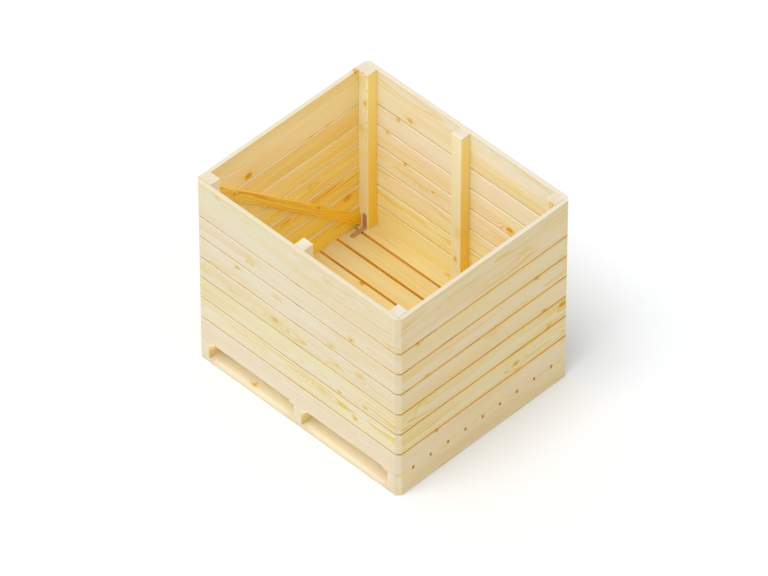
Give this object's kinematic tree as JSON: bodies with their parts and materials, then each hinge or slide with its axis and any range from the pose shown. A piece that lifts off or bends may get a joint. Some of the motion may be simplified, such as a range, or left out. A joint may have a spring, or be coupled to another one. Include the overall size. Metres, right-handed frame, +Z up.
{
  "type": "wooden shipping crate",
  "caption": "Open-topped softwood pallet box with boarded walls on posts, a boarded floor with two fork pockets, inner diagonal braces and steel corner brackets.",
  "frame": {"origin": "middle of the base, on the ground plane under the box's centre", "axes": "+X along the long walls, +Y along the short walls and through the fork pockets, +Z up"},
  "size_m": [1.2, 1.025, 1.047],
  "materials": {
    "wall_wood": "planed, unfinished pale pine",
    "post_wood": "planed, unfinished pine",
    "floor_wood": "planed, unfinished pine",
    "base_wood": "planed, unfinished pine",
    "brace_wood": "planed, unfinished pine, slightly darker",
    "bracket_steel": "brown passivated steel, satin",
    "nail_steel": "yellow passivated zinc, dull"
  },
  "bodies": {
    "root": {"front_board_1": "wall_wood", "front_board_2": "wall_wood", "front_board_3": "wall_wood", "front_board_4": "wall_wood", "front_board_5": "wall_wood", "front_board_6": "wall_wood", "front_board_7": "wall_wood", "front_board_8": "wall_wood", "back_board_1": "wall_wood", "back_board_2": "wall_wood", "back_board_3": "wall_wood", "back_board_4": "wall_wood", "back_board_5": "wall_wood", "back_board_6": "wall_wood", "back_board_7": "wall_wood", "back_board_8": "wall_wood", "left_board_1": "wall_wood", "left_board_2": "wall_wood", "left_board_3": "wall_wood", "left_board_4": "wall_wood", "left_board_5": "wall_wood", "left_board_6": "wall_wood", "left_board_7": "wall_wood", "left_board_8": "wall_wood", "right_board_1": "wall_wood", "right_board_2": "wall_wood", "right_board_3": "wall_wood", "right_board_4": "wall_wood", "right_board_5": "wall_wood", "right_board_6": "wall_wood", "right_board_7": "wall_wood", "right_board_8": "wall_wood", "post_front_left": "post_wood", "post_front_mid": "post_wood", "post_front_right": "post_wood", "post_back_left": "post_wood", "post_back_mid": "post_wood", "post_back_right": "post_wood", "floor_board_1": "floor_wood", "floor_board_2": "floor_wood", "floor_board_3": "floor_wood", "floor_board_4": "floor_wood", "floor_board_5": "floor_wood", "floor_board_6": "floor_wood", "floor_board_7": "floor_wood", "floor_board_8": "floor_wood", "floor_board_9": "floor_wood", "floor_board_10": "floor_wood", "stringer_left": "base_wood", "stringer_mid": "base_wood", "stringer_right": "base_wood", "side_board_left": "base_wood", "side_board_right": "base_wood", "skid_front": "base_wood", "skid_back": "base_wood", "brace_left": "brace_wood", "brace_right": "brace_wood", "corner_brackets": "bracket_steel", "bracket_screws": "bracket_steel", "nails": "nail_steel"}
  },
  "joints": []
}
